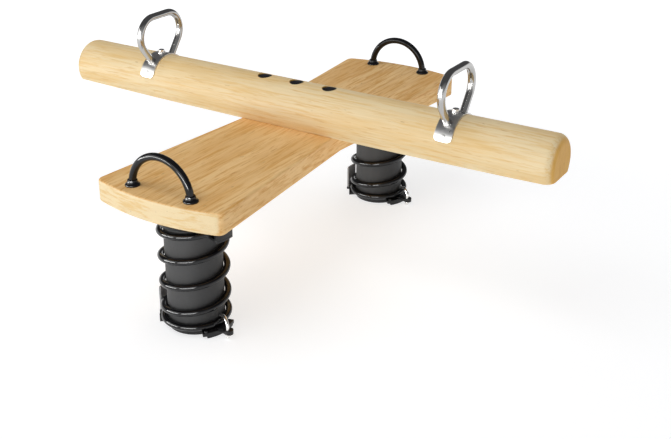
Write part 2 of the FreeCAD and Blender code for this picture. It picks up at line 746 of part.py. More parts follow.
def top_fittings():
    """Under each end of the board: a plate on four screws, and two bolted clamps for the coil."""
    for name, side in FRONT_BACK:
        spacers, clamps, bolts = [], [], []
        bolt_spots = []
        for clamp in TOP_CLAMPS:
            ends = (clamp.start + CLAMP_BOLT_INSET, clamp.stop - CLAMP_BOLT_INSET)
            spots = [polar("clamp_bolt_at", angle) for angle in ends]
            clamp_top = f"{clamp.clamp_z} + clamp_thick"
            span = (clamp.start, clamp.stop)
            wall = sector("clamp_wall_in", clamp.out, clamp_top, clamp.spacer_z, *span)
            block = drilled_arc("shoe_in", clamp, clamp.spacer_z, PLATE_Z, spots)
            spacers.append(fuse(block, wall))
            clamps.append(drilled_arc("clamp_in", clamp, clamp.clamp_z, clamp_top, spots))
            bolts += [clamp_bolt(x, y, clamp.clamp_z) for x, y in spots]
            bolt_spots += spots
        keep(f"top_plate_{name}", moved_group([top_plate(bolt_spots)], side))
        keep(f"top_spacers_{name}", moved_group(spacers, side))
        keep(f"top_clamps_{name}", moved_group(clamps, side))
        keep(f"top_clamp_bolts_{name}", moved_group(bolts, side))
        head_z = f"{PLATE_Z} - top_screw_height"
        head = hexagon("top_screw_head", "top_screw_height", z=head_z)
        shank = cylinder("screw_radius", "top_thick + screw_depth", z=PLATE_Z)
        keep(f"top_plate_screws_{name}", copies(fuse(head, shank), top_screw_spots(name)))


def drilled_arc(inner, clamp, low, high, spots):
    """A ring sector with clearance holes for the clamp bolts."""
    arc = sector(inner, clamp.out, low, high, clamp.start, clamp.stop)
    height = f"({high}) - ({low})"
    holes = [cylinder(f"screw_radius + {CLEARANCE}", height, x, y, low) for x, y in spots]
    return cut(arc, *holes)


def top_plate(bolt_spots):
    disc = cylinder("top_round", "top_thick", z=PLATE_Z)
    square = box("2 * top_half", "2 * top_half", "top_thick", "-top_half", "-top_half", PLATE_Z)
    screws = [(f"{sx} * top_screw_at", f"{sy} * top_screw_at") for sx in SIDES for sy in SIDES]
    hole = f"screw_radius + {CLEARANCE}"
    drills = [cylinder(hole, "top_thick", x, y, PLATE_Z) for x, y in screws + bolt_spots]
    return cut(common(disc, square), *drills)


def clamp_bolt(x, y, clamp_z):
    head_z = f"{clamp_z} - clamp_bolt_height"
    head = hexagon("clamp_bolt_head", "clamp_bolt_height", x, y, head_z)
    shank = cylinder("screw_radius", f"{UNDERSIDE} - {clamp_z}", x, y, clamp_z)
    return fuse(head, shank)


# ---- Fittings on the ground


def base_fittings():
    """Round each spring's foot: a plate with ears, two ribbed shoes with hook bolts, a tall bracket."""
    for name, side in FRONT_BACK:
        shoes, hooks, nuts, domes, bolts = [], [], [], [], []
        for clamp in BASE_CLAMPS:
            x, y = polar("hook_at", clamp.hook)
            shoes.append(base_shoe(clamp, x, y))
            hooks.append(hook_bolt(clamp.hook))
            nut_z = "lug_z - hook_nut_height"
            nuts.append(place(nut("hook_radius", "hook_nut", nut_z, "hook_nut_height"), x, y))
            domes.append(dome_nut(x, y))
            bolt_x, bolt_y = polar("shoe_bolt_at", clamp.start + SHOE_BOLT_INSET)
            bolts.append(hexagon("shoe_bolt_head", "shoe_bolt_height", bolt_x, bolt_y, clamp.rib_top))
        keep(f"base_plate_{name}", moved_group([base_plate()], side))
        keep(f"base_shoes_{name}", moved_group(shoes, side))
        keep(f"hook_bolts_{name}", moved_group(hooks, side))
        keep(f"hook_nuts_{name}", moved_group(nuts, side))
        keep(f"hook_dome_nuts_{name}", moved_group(domes, side))
        keep(f"shoe_bolts_{name}", moved_group(bolts, side))
        keep(f"tall_bracket_{name}", moved_group([tall_bracket()], side))
        keep(f"bracket_bolt_{name}", moved_group([bracket_bolt()], side))


def base_plate():
    """A disc with ears under the shoes and the bracket, one ear with a lip, and anchor holes."""
    parts = [cylinder("sleeve_radius", "base_thick")]
    for clamp in BASE_CLAMPS:
        ear_start = clamp.start + EAR_INSET
        parts.append(sector("base_ear_in", "base_ear_out", 0, "base_thick", ear_start, clamp.stop))
    parts.append(sector("base_ear_in", "base_tongue_out", 0, "base_thick", *BRACKET_SPAN))
    parts.append(sector("base_ear_in", "bracket_foot_out", 0, "base_thick", *FOOT_SPAN))
    parts.append(sector("base_ear_in", "lip_out", 0, "base_thick", *LIP_SPAN))
    parts.append(sector("lip_in", "lip_out", 0, "lip_top", *LIP_SPAN))
    holes = [cylinder("bracket_bolt_hole", "base_thick", *bracket_bolt_spot())]
    for quarter in range(4):
        x, y = polar("anchor_pcd / 2", 45 + 90 * quarter)
        holes.append(cylinder("anchor_hole", "base_thick", x, y))
    return cut(fuse(*parts), *holes)


def base_shoe(clamp, x, y):
    """A ribbed arc under the coil, with an arm out to a lug that the hook bolt passes through."""
    span = (clamp.start, clamp.stop)
    floor_top = f"base_thick + {SHOE_FLOOR}"
    rib = sector("shoe_in", "shoe_rib_out", "base_thick", clamp.rib_top, *span)
    floor = sector("shoe_in", "shoe_out", "base_thick", floor_top, *span)
    wall = sector("shoe_rib_out", "shoe_out", "base_thick", clamp.rib_top, *span)
    lug_angle = clamp.hook + LUG_OFFSET
    lug_x, lug_y = polar("hook_at", lug_angle)
    lug = cylinder("lug_radius", "lug_height", lug_x, lug_y, "lug_z")
    arm = box("hook_at - lug_arm_in", "2 * lug_radius", "lug_arm_height")
    arm_x, arm_y = f"lug_arm_in * cos({lug_angle})", f"lug_arm_in * sin({lug_angle})"
    side_x, side_y = f"lug_radius * sin({lug_angle})", f"lug_radius * cos({lug_angle})"
    place(arm, f"{arm_x} + {side_x}", f"{arm_y} - {side_y}", "lug_z", turn=lug_angle)
    hole = cylinder("lug_hole", "lug_height + 1", x, y, "lug_z - 0.5")
    return cut(fuse(rib, floor, wall, arm, lug), hole)


def hook_bolt(angle):
    """A bar that dips over the coil from outside and stands upright down to its thread."""
    bar, out, bend = dim("hook_radius"), dim("hook_at"), dim("hook_bend")
    skew, dip = math.radians(HOOK_SKEW), math.radians(HOOK_DIP)
    side, along = out * math.sin(skew), out * math.cos(skew)
    over_coil = along - math.sqrt(dim("coil_radius") ** 2 - side**2)
    tip = along - math.sqrt(dim("hook_in") ** 2 - side**2)
    cross_x, cross_y = out - over_coil * math.cos(skew), -over_coil * math.sin(skew)
    crossing = angle + math.degrees(math.atan2(cross_y, cross_x))
    gap = dim("wire_radius") + bar + HOOK_CLEARANCE
    over = coil_z((crossing - COIL_ZERO_ANGLE) / 360) + gap / math.cos(dip)
    elbow_out = bend * (1 + math.sin(dip))
    elbow_z = over + (over_coil - elbow_out) * math.tan(dip)
    centre = Vector(-bend, 0, elbow_z - bend * math.cos(dip))
    turn = (math.pi / 2 + dip) / 2
    middle = centre + Vector(math.cos(turn), 0, math.sin(turn)) * bend
    start = Vector(-tip, 0, over - (tip - over_coil) * math.tan(dip))
    elbow, leg = Vector(-elbow_out, 0, elbow_z), Vector(0, 0, centre.z)
    path = Part.Wire([
        Part.LineSegment(start, elbow).toShape(),
        Part.Arc(elbow, middle, leg).toShape(),
        Part.LineSegment(leg, Vector(0, 0, dim("hook_tip_z"))).toShape(),
    ])
    ring = Part.makeCircle(bar, start, elbow - start)
    hook = solid(path.makePipeShell([Part.Wire([ring])], True, False))
    x, y = polar("hook_at", angle)
    return place(hook, x, y, turn=angle + HOOK_SKEW)


def dome_nut(x, y):
    """The lower part of a ball, with a blind hole for the hook bolt's end."""
    ball = doc.addObject("Part::Sphere", "ball")
    bind(ball, Radius="dome_radius")
    place(ball, x, y, "dome_z")
    lower = cylinder("dome_radius + 0.5", "dome_z - dome_foot_z", x, y, "dome_foot_z")
    hole_z = f"hook_tip_z - {FIT}"
    hole = cylinder(f"hook_radius + {FIT}", "dome_z", x, y, hole_z)
    return cut(common(ball, lower), hole)


def tall_bracket():
    """A curved upright beside the coil on a foot that is bolted to the base plate."""
    upright = sector("bracket_in", "bracket_out", "base_thick", "bracket_top", *BRACKET_SPAN)
    rounded = filleted(upright, "bracket_round", bracket_top_corner)
    foot_top = "base_thick + bracket_foot"
    foot = sector("bracket_in", "bracket_foot_out", "base_thick", foot_top, *FOOT_SPAN)
    hole = cylinder("bracket_bolt_hole", "bracket_foot", *bracket_bolt_spot(), "base_thick")
    return cut(fuse(rounded, foot), hole)


def bracket_top_corner(edge):
    """True of the two short edges across the top corners of the bracket's upright."""
    level = all(abs(v.Z - dim("bracket_top")) < 0.01 for v in edge.Vertexes)
    return level and isinstance(edge.Curve, Part.Line)


def bracket_bolt_spot():
    return polar("bracket_bolt_at", sum(FOOT_SPAN) / 2)


def bracket_bolt():
    x, y = bracket_bolt_spot()
    foot_top = "base_thick + bracket_foot"
    head = hexagon("bracket_bolt_head", "bracket_bolt_height", x, y, foot_top)
    shank_height = "base_thick + bracket_foot - 1"
    shank = cylinder(f"bracket_bolt_hole - {FIT}", shank_height, x, y, 1)
    return fuse(head, shank)


def check_document():
    """Stop if any object failed or any sub-part is not a sound shape."""
    for obj in doc.Objects:
        if {"Invalid", "Error"} & set(obj.State):
            raise RuntimeError(f"{obj.Name} ({obj.Label}) is {obj.State}")
    for label, obj in nodes.items():
        if obj.Shape.isNull() or not obj.Shape.isValid():
            raise RuntimeError(f"{label} has no sound shape")


seat_board()
log_beam()
log_fasteners()
hoop_handles()
saddles()
steel_handles()
saddle_fasteners()
springs()
core_sleeves()
top_fittings()
base_fittings()
doc.recompute()
check_document()
os.makedirs("parts", exist_ok=True)
for label, obj in nodes.items():
    obj.Shape.exportStep(f"parts/{label}.step")
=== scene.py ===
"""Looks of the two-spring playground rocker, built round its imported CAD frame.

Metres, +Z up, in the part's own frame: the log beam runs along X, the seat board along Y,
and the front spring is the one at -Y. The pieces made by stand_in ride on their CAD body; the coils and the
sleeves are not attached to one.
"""

import json
import math

import bmesh
import bpy
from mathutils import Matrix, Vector


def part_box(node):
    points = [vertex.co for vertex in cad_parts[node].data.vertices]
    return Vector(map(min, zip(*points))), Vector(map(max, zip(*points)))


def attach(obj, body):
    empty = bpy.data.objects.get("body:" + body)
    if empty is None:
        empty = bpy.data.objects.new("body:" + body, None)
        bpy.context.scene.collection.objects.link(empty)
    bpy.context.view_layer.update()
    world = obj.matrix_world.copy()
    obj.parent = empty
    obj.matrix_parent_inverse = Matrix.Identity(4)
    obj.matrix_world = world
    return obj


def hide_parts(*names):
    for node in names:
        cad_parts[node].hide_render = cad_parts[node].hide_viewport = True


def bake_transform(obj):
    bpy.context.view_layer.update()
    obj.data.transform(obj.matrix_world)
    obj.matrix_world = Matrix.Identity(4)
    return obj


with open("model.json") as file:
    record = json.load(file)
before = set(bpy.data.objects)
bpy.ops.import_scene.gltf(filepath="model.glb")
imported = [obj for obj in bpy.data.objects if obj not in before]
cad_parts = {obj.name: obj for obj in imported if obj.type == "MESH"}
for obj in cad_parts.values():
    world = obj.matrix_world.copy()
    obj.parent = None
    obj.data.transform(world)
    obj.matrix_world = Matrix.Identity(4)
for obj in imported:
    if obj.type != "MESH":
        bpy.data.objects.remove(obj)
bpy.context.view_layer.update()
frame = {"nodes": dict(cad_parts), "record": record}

MM = 0.001
SIDES = (-1, 1)
FRONT_BACK = ("front", "back")
LEFT_RIGHT = ("left", "right")
NODE_BODY = {
    node: body
    for body, members in frame["record"]["behaviour"]["bodies"].items()
    for node in members
}


# ---- Places read from the frame


def plan_centre(low, high):
    """The middle of a box, at ground height."""
    return Vector(((low.x + high.x) / 2, (low.y + high.y) / 2, 0))


def spring_axis(name):
    low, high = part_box(f"core_sleeve_{name}")
    return plan_centre(low, high)


_, BOARD_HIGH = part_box("seat_board")
_, LOG_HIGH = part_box("log_beam")
LOG_RADIUS = 77 * MM
LOG_AXIS_Z = LOG_HIGH.z - LOG_RADIUS

# The coil's slope in metres a turn: closed turns, a ramp, open turns, a ramp, closed turns.
COIL_RADIUS, WIRE_RADIUS = 87 * MM, 9 * MM
COIL_ZERO_ANGLE = -58.0
COIL_ZERO_Z = 26.8 * MM
COIL_START, COIL_STOP = -0.35, 5.0
COIL_SLOPES = (
    (-0.35, 14.6 * MM),
    (0.05, 14.6 * MM),
    (0.95, 75.5 * MM),
    (3.6, 75.5 * MM),
    (4.5, 18 * MM),
    (5.0, 18 * MM),
)
COIL_STEPS_PER_TURN = 90
WIRE_END_EASE = 1.6 * MM
SLEEVE_WALL, SLEEVE_EASE, SLEEVE_STEPS = 6 * MM, 2 * MM, 22

# The joints' own bend zones, from the ground up; bend() reads them but bends nothing across them.
BEND_ZONES = (
    ("root", "coils", 20 * MM, 108 * MM),
    ("coils", "sleeves", 142 * MM, 218 * MM),
    ("sleeves", "deck", 252 * MM, 330 * MM),
)
SPLIT_HEIGHTS = (125 * MM, 235 * MM)


# ---- Mesh helpers


def new_object(name, mesh, material, smooth_angle=32.0):
    for polygon in mesh.polygons:
        polygon.use_smooth = True
    mesh.set_sharp_from_angle(angle=math.radians(smooth_angle))
    mesh.materials.clear()
    mesh.materials.append(material)
    obj = bpy.data.objects.new(name, mesh)
    bpy.context.scene.collection.objects.link(obj)
    return obj


def from_rings(name, rings, material, loop=False, cap=True, smooth_angle=32.0):
    """A mesh over rings of points: a closed torus of rings, or a rod with capped ends."""
    count = len(rings[0])
    verts = [point for ring in rings for point in ring]
    faces = []
    spans = len(rings) if loop else len(rings) - 1
    for i in range(spans):
        a, b = i * count, ((i + 1) % len(rings)) * count
        for k in range(count):
            n = (k + 1) % count
            faces.append((a + k, a + n, b + n, b + k))
    if cap and not loop:
        faces.append(tuple(range(count))[::-1])
        last = (len(rings) - 1) * count
        faces.append(tuple(last + k for k in range(count)))
    mesh = bpy.data.meshes.new(name)
    mesh.from_pydata([tuple(v) for v in verts], [], faces)
    tidy_normals(mesh)
    return new_object(name, mesh, material, smooth_angle)


def tidy_normals(mesh):
    bm = bmesh.new()
    bm.from_mesh(mesh)
    bmesh.ops.remove_doubles(bm, verts=bm.verts, dist=1e-7)
    bmesh.ops.recalc_face_normals(bm, faces=bm.faces)
    bm.to_mesh(mesh)
    bm.free()
    mesh.update()


def tube_rings(path, radii, sides, loop=False):
    """Round cross-sections along a path, turned as little as the path allows."""
    total = len(path)
    tangents = []
    for i in range(total):
        before = path[i - 1] if loop or i else path[0]
        after = path[(i + 1) % total] if loop or i < total - 1 else path[-1]
        tangents.append((after - before).normalized())
    up = Vector((0, 0, 1)) if abs(tangents[0].z) < 0.9 else Vector((1, 0, 0))
    normal = (up - tangents[0] * up.dot(tangents[0])).normalized()
    rings = []
    for point, tangent, radius in zip(path, tangents, radii):
        normal = (normal - tangent * normal.dot(tangent)).normalized()
        across = tangent.cross(normal)
        ring = []
        for k in range(sides):
            turn = 2 * math.pi * k / sides
            ring.append(point + (normal * math.cos(turn) + across * math.sin(turn)) * radius)
        rings.append(ring)
    return rings


def eased_rod(path, radius, sides, ease):
    """Rings along a path whose two ends are rounded off over a short length."""
    lead, tail = (path[1] - path[0]).normalized(), (path[-1] - path[-2]).normalized()
    steps = (90, 65, 40, 20)
    shrink = [radius - ease * (1 - math.cos(math.radians(a))) for a in steps]
    offset = [ease * (1 - math.sin(math.radians(a))) for a in steps]
    head = [path[0] + lead * d for d in offset]
    foot = [path[-1] - tail * d for d in reversed(offset)]
    inner = [p for p in path[1:-1]]
    points = head + inner + foot
    radii = shrink + [radius] * len(inner) + shrink[::-1]
    return tube_rings(points, radii, sides)


def turned(profile, centre, sides=64, radius_at=None, turn=0.0):
    """Rings of a turned part about Z: each profile point is (radius, z)."""
    rings = []
    for radius, z in profile:
        ring = []
        for k in range(sides):
            angle = 2 * math.pi * k / sides + turn
            r = radius if radius_at is None else radius_at(radius, angle - turn)
            ring.append(Vector((centre.x + r * math.cos(angle), centre.y + r * math.sin(angle), z)))
        rings.append(ring)
    return rings


def rounded_profile(inner, outer, low, high, ease):
    """The cross-section of a flat ring with eased edges, as (radius, z) points."""
    points = []
    corners = (
        (outer - ease, low + ease, -90),
        (outer - ease, high - ease, 0),
        (inner + ease, high - ease, 90),
        (inner + ease, low + ease, 180),
    )
    for r, z, start in corners:
        for step in range(4):
            angle = math.radians(start + 30 * step)
            points.append((r + ease * math.cos(angle), z + ease * math.sin(angle)))
    return points


HEX_END, HEX_WIDEN, HEX_CHAMFER = 0.97, 0.2, 0.143
HEX_SHARES = (0.0, 0.34, 0.67, 1.0)


def hex_profile(across, low, high):
    """A hexagon nut or head: its corners are cut by a cone at both ends."""
    flat = across / 2
    rise = flat * HEX_CHAMFER
    radii = [flat * HEX_END + share * flat * HEX_WIDEN for share in HEX_SHARES]
    bottom = [(radius, low + share * rise) for radius, share in zip(radii, HEX_SHARES)]
    top = [(radius, high - share * rise) for radius, share in zip(radii, HEX_SHARES)]
    return bottom + top[::-1]


def hex_radius(across):
    def radius_at(limit, angle):
        wedge = (angle + math.pi / 6) % (math.pi / 3) - math.pi / 6
        return min(limit, across / 2 / math.cos(wedge))
    return radius_at


def hex_piece(name, across, low, high, centre, material, turn=0.0):
    rings = turned(hex_profile(across, low, high), centre, 72, hex_radius(across), turn)
    return from_rings(name, rings, material, smooth_angle=25)


def joined(name, pieces, material):
    """Several meshes as one object."""
    bm = bmesh.new()
    for piece in pieces:
        bm.from_mesh(piece.data)
        old = piece.data
        bpy.data.objects.remove(piece)
        bpy.data.meshes.remove(old)
    mesh = bpy.data.meshes.new(name)
    bm.to_mesh(mesh)
    bm.free()
    return new_object(name, mesh, material)


def stand_in(obj, *node_names):
    """obj stands for CAD nodes of one body and rides on that body."""
    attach(obj, NODE_BODY[node_names[0]])
    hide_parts(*node_names)
    return obj


def eased_copy(node, name, material, width, segments=3):
    """The CAD sub-part with its sharp edges rounded over."""
    mesh = frame["nodes"][node].data.copy()
    bm = bmesh.new()
    bm.from_mesh(mesh)
    bmesh.ops.remove_doubles(bm, verts=bm.verts, dist=2e-6)
    bmesh.ops.dissolve_limit(
        bm, angle_limit=math.radians(0.6), verts=bm.verts, edges=bm.edges, use_dissolve_boundaries=False
    )
    sharp = [e for e in bm.edges if len(e.link_faces) == 2 and e.calc_face_angle(0) > math.radians(28)]
    bmesh.ops.bevel(
        bm, geom=sharp, offset=width, offset_type="OFFSET", segments=segments,
        profile=0.5, affect="EDGES", clamp_overlap=True,
    )
    bmesh.ops.recalc_face_normals(bm, faces=bm.faces)
    bm.to_mesh(mesh)
    bm.free()
    obj = new_object(name, mesh, material, smooth_angle=40)
    return stand_in(obj, node)


# ---- Materials


class Graph:
    """Builds one node material on the object's own coordinates."""

    def __init__(self, name):
        self.material = bpy.data.materials.new(name)
        self.material.use_nodes = True
        self.tree = self.material.node_tree
        self.surface = self.tree.nodes["Principled BSDF"]
        coordinates = self.tree.nodes.new("ShaderNodeTexCoord")
        self.place = coordinates.outputs["Object"]
        self.facing = coordinates.outputs["Normal"]

    def put(self, socket, value):
        if isinstance(value, bpy.types.NodeSocket):
            self.tree.links.new(value, socket)
        else:
            socket.default_value = value

    def node(self, kind, **inputs):
        made = self.tree.nodes.new(kind)
        for name, value in inputs.items():
            self.put(made.inputs[name.replace("_", " ")], value)
        return made

    def stretched(self, x, y, z, vector=None):
        made = self.node("ShaderNodeMapping", Scale=(x, y, z))
        self.put(made.inputs["Vector"], vector or self.place)
        return made.outputs["Vector"]

    def noise(self, vector, scale=1.0, detail=3.0, roughness=0.5, distortion=0.0, colour=False):
        made = self.node(
            "ShaderNodeTexNoise", Vector=vector, Scale=scale, Detail=detail,
            Roughness=roughness, Distortion=distortion,
        )
        return made.outputs["Color" if colour else "Fac"]

    def math(self, operation, a, b=0.0):
        made = self.tree.nodes.new("ShaderNodeMath")
        made.operation = operation
        self.put(made.inputs[0], a)
        self.put(made.inputs[1], b)
        return made.outputs[0]

    def vector(self, operation, a, b=(0, 0, 0), out="Vector"):
        made = self.tree.nodes.new("ShaderNodeVectorMath")
        made.operation = operation
        self.put(made.inputs[0], a)
        self.put(made.inputs[1], b)
        return made.outputs[out]

    def split(self, vector):
        made = self.node("ShaderNodeSeparateXYZ", Vector=vector)
        return made.outputs

    def combine(self, x, y, z):
        return self.node("ShaderNodeCombineXYZ", X=x, Y=y, Z=z).outputs["Vector"]

    def between(self, value, low, high, to_low=0.0, to_high=1.0, smooth=True):
        made = self.tree.nodes.new("ShaderNodeMapRange")
        made.interpolation_type = "SMOOTHSTEP" if smooth else "LINEAR"
        for name, number in (
            ("Value", value), ("From Min", low), ("From Max", high),
            ("To Min", to_low), ("To Max", to_high),
        ):
            self.put(made.inputs[name], number)
        return made.outputs["Result"]

    def blend(self, share, a, b, mode="MIX"):
        made = self.tree.nodes.new("ShaderNodeMix")
        made.data_type = "RGBA"
        made.blend_type = mode
        self.put(made.inputs["Factor"], share)
        self.put(made.inputs["A"], a if isinstance(a, bpy.types.NodeSocket) else (*a, 1.0))
        self.put(made.inputs["B"], b if isinstance(b, bpy.types.NodeSocket) else (*b, 1.0))
        return made.outputs["Result"]

    def bump(self, height, strength, distance):
        made = self.node("ShaderNodeBump", Height=height, Strength=strength, Distance=distance)
        self.put(self.surface.inputs["Normal"], made.outputs["Normal"])

    def finish(self, colour=None, roughness=None, **sockets):
        if colour is not None:
            self.put(self.surface.inputs["Base Color"], colour)
        if roughness is not None:
            self.put(self.surface.inputs["Roughness"], roughness)
        for name, value in sockets.items():
            self.put(self.surface.inputs[name.replace("_", " ")], value)
        return self.material


FLECK = (0.30, 0.14, 0.045)


def wood(name, along, heart, side_tones, face_tones, face_axis, end_stretch, contrast):
    """Solid pine: growth rings round a wandering heart line, fibres, short resin dashes.

    side_tones and face_tones are (pale, golden, brown).
    face_tones show on the faces that look along face_axis; this switch by facing is painted light and shade,
    making those faces read brighter or dimmer than the rest.
    """
    g = Graph(name)
    long_axis = "xy".index(along)

    def grain(stretch, across):
        sizes = [across, across, across]
        sizes[long_axis] = stretch
        return g.stretched(*sizes)

    wander = g.vector("SUBTRACT", g.noise(grain(1.1, 5.0), detail=2, colour=True), (0.5, 0.5, 0.5))
    waver = g.vector("SUBTRACT", g.noise(grain(4.5, 26.0), detail=2, colour=True), (0.5, 0.5, 0.5))
    wandered = g.vector("MULTIPLY_ADD", wander, (0.05, 0.05, 0.05))
    g.put(wandered.node.inputs[2], g.place)
    wavered = g.vector("MULTIPLY_ADD", waver, (0.006, 0.006, 0.006))
    g.put(wavered.node.inputs[2], wandered)
    from_heart = g.vector("SUBTRACT", wavered, heart)
    across_grain = ((0, 1, 1), (1, 0, 1))[long_axis]
    radius = g.vector("LENGTH", g.vector("MULTIPLY", from_heart, across_grain), out="Value")
    length = g.split(g.place)[long_axis]
    rings = g.noise(
        g.combine(g.math("MULTIPLY", radius, 210.0), g.math("MULTIPLY", length, 1.4), 0.0),
        detail=2.5, roughness=0.55,
    )
    late_wood = g.between(rings, 0.50, 0.70)
    zones = g.between(g.noise(grain(2.2, 15.0), detail=3, roughness=0.6), 0.38, 0.64)
    fibres = g.noise(grain(9.0, 420.0), detail=3, roughness=0.7)
    streaks = g.between(g.noise(grain(7.0, 130.0), detail=4, roughness=0.66, distortion=0.3), 0.46, 0.66)
    end_streaks = g.between(g.noise(g.stretched(*end_stretch), detail=4, roughness=0.6), 0.46, 0.66)
    dashes = g.between(g.noise(grain(16.0, 190.0), detail=2), 0.60, 0.74)
    flecks = g.between(g.noise(grain(34.0, 120.0), detail=1), 0.745, 0.80)

    def tone(pale, golden, brown):
        base = g.blend(g.math("MULTIPLY", zones, 0.50), pale, golden)
        base = g.blend(g.math("MULTIPLY", streaks, 0.80 * contrast), base, golden)
        base = g.blend(g.math("MULTIPLY", late_wood, 0.12 * contrast), base, brown)
        base = g.blend(g.math("MULTIPLY", dashes, 0.50 * contrast), base, brown)
        return base

    def end_tone(pale, golden, brown):
        base = g.blend(g.math("MULTIPLY", end_streaks, 0.75), pale, golden)
        return g.blend(g.math("MULTIPLY", late_wood, 0.10), base, brown)

    side = tone(*side_tones)
    face = end_tone(*face_tones)
    # Painted light and shade: faces that look along face_axis swap to their own tone set, so they read as
    # lit or shaded.
    facing = g.split(g.facing)["XYZ".index(face_axis)]
    share = g.between(g.math("ABSOLUTE", facing), 0.62, 0.93)
    colour = g.blend(share, side, face)
    shade = g.between(fibres, 0.25, 0.75, 0.94, 1.05, smooth=False)
    colour = g.blend(1.0, colour, g.combine(shade, shade, shade), "MULTIPLY")
    colour = g.blend(g.math("MULTIPLY", flecks, 0.30), colour, FLECK)
    rough = g.between(g.math("ADD", fibres, late_wood), 0.3, 1.5, 0.56, 0.44, smooth=False)
    relief = g.math("ADD", g.math("MULTIPLY", fibres, 0.6), g.math("MULTIPLY", late_wood, 0.5))
    g.bump(relief, 0.22, 0.0006)
    return g.finish(colour, rough, Specular_IOR_Level=0.15)


DUST = (0.10, 0.095, 0.085)
STAIN = (0.30, 0.27, 0.23)


def coated(name, colour, rough_low, rough_high, dust, peel=0.10, coat=0.0, gloss=0.5):
    """Paint or moulded plastic: an uneven sheen, a fine skin texture and a little dust."""
    g = Graph(name)
    skin = g.noise(g.place, scale=900, detail=2)
    cloud = g.noise(g.place, scale=34, detail=4, roughness=0.62)
    scuffs = g.between(g.noise(g.stretched(90, 90, 300), detail=3, distortion=0.6), 0.62, 0.74)
    base = g.blend(g.math("MULTIPLY", g.between(cloud, 0.45, 0.75), dust), colour, DUST)
    base = g.blend(g.math("MULTIPLY", scuffs, dust * 0.5), base, DUST)
    rough = g.between(g.math("ADD", cloud, g.math("MULTIPLY", scuffs, 0.3)), 0.3, 0.9, rough_low, rough_high)
    g.bump(g.math("ADD", skin, g.math("MULTIPLY", cloud, 0.6)), peel, 0.0004)
    return g.finish(base, rough, Coat_Weight=coat, Coat_Roughness=0.12, Specular_IOR_Level=gloss)


def bare_metal(name, colour, rough_low, rough_high, brush, brush_scale=(1400, 60, 60), stain=0.12):
    """Bare metal with fine brushing marks, faint stains and an uneven polish."""
    g = Graph(name)
    marks = g.noise(g.stretched(*brush_scale), detail=2)
    cloud = g.noise(g.place, scale=40, detail=3, roughness=0.6)
    dull = g.blend(g.math("MULTIPLY", g.between(cloud, 0.5, 0.8), stain), colour, STAIN)
    rough = g.between(g.math("ADD", g.math("MULTIPLY", marks, 0.4), cloud), 0.4, 1.0, rough_low, rough_high)
    g.bump(marks, brush, 0.00015)
    return g.finish(dull, rough, Metallic=1.0)


PINE_SIDE = ((0.82, 0.66, 0.40), (0.74, 0.49, 0.19), (0.62, 0.34, 0.10))
PINE_TOP = ((0.89, 0.60, 0.28), (0.71, 0.375, 0.11), (0.55, 0.24, 0.055))
# Log end faces: darker end grain, partly real and partly painted shade for the dimmer light on the ends.
PINE_END_GRAIN_AND_SHADE = ((0.75, 0.43, 0.105), (0.66, 0.34, 0.07), (0.46, 0.21, 0.04))

# The board's end faces take the pale side tones as painted light, so they read brighter than its more golden
# top and long sides.
board_wood = wood("board_pine", "y", (0.03, 0, 0.30), PINE_TOP, PINE_SIDE, "Y", (14, 50, 110), 1.3)
# The log's end faces take the darker end tones: real end grain, deepened with painted shade.
log_wood = wood("log_pine", "x", (0, 0.11, 0.33), PINE_SIDE, PINE_END_GRAIN_AND_SHADE, "X", (50, 110, 14), 0.85)
spring_paint = coated("spring_black", (0.004, 0.004, 0.005), 0.04, 0.07, 0.02, peel=0.01, gloss=0.42)
sleeve_rubber = coated("core_rubber_grey", (0.040, 0.040, 0.0405), 0.55, 0.75, 0.06, peel=0.12, gloss=0.35)
hoop_paint = coated("hoop_black", (0.005, 0.005, 0.006), 0.05, 0.08, 0.03, peel=0.01, gloss=0.34)
collar_moulding = coated("collar_black", (0.005, 0.005, 0.006), 0.10, 0.16, 0.03, peel=0.03, gloss=0.45)
plug_moulding = coated("plug_black", (0.006, 0.007, 0.010), 0.45, 0.58, 0.04, peel=0.08, gloss=0.25)
casting_black = coated("casting_black", (0.007, 0.007, 0.008), 0.28, 0.44, 0.10, peel=0.2, gloss=0.35)
bracket_grey = coated("bracket_grey", (0.30, 0.30, 0.305), 0.34, 0.50, 0.10, peel=0.12)
polished_steel = bare_metal("polished_stainless", (0.48, 0.475, 0.465), 0.10, 0.15, 0.002, (40, 40, 200))
strap_steel = bare_metal("satin_stainless", (0.72, 0.715, 0.70), 0.26, 0.34, 0.002, (40, 40, 200))
zinc = bare_metal("zinc_plated", (0.62, 0.61, 0.58), 0.22, 0.38, 0.06, (200, 200, 200), stain=0.3)
bright_zinc = bare_metal("bright_zinc", (0.86, 0.85, 0.83), 0.18, 0.28, 0.01, (200, 200, 200))
black_steel = coated("black_bolt", (0.012, 0.012, 0.013), 0.26, 0.42, 0.12, peel=0.10)


# ---- Springs and sleeves, each in three stacked pieces


def coil_height(turns):
    """Centre height of the coil: the slope changes in straight ramps, so each span adds a trapezium."""
    height = COIL_ZERO_Z - COIL_SLOPES[0][1] * (0 - COIL_START)
    for (start, low), (stop, high) in zip(COIL_SLOPES, COIL_SLOPES[1:]):
        reached = min(turns, stop)
        if reached <= start:
            break
        share = (reached - start) / (stop - start)
        slope_there = low + (high - low) * share
        height += (low + slope_there) / 2 * (reached - start)
    return height


def coil_point(axis, turns):
    angle = math.radians(COIL_ZERO_ANGLE + 360 * turns)
    x, y = COIL_RADIUS * math.cos(angle), COIL_RADIUS * math.sin(angle)
    return axis + Vector((x, y, coil_height(turns)))


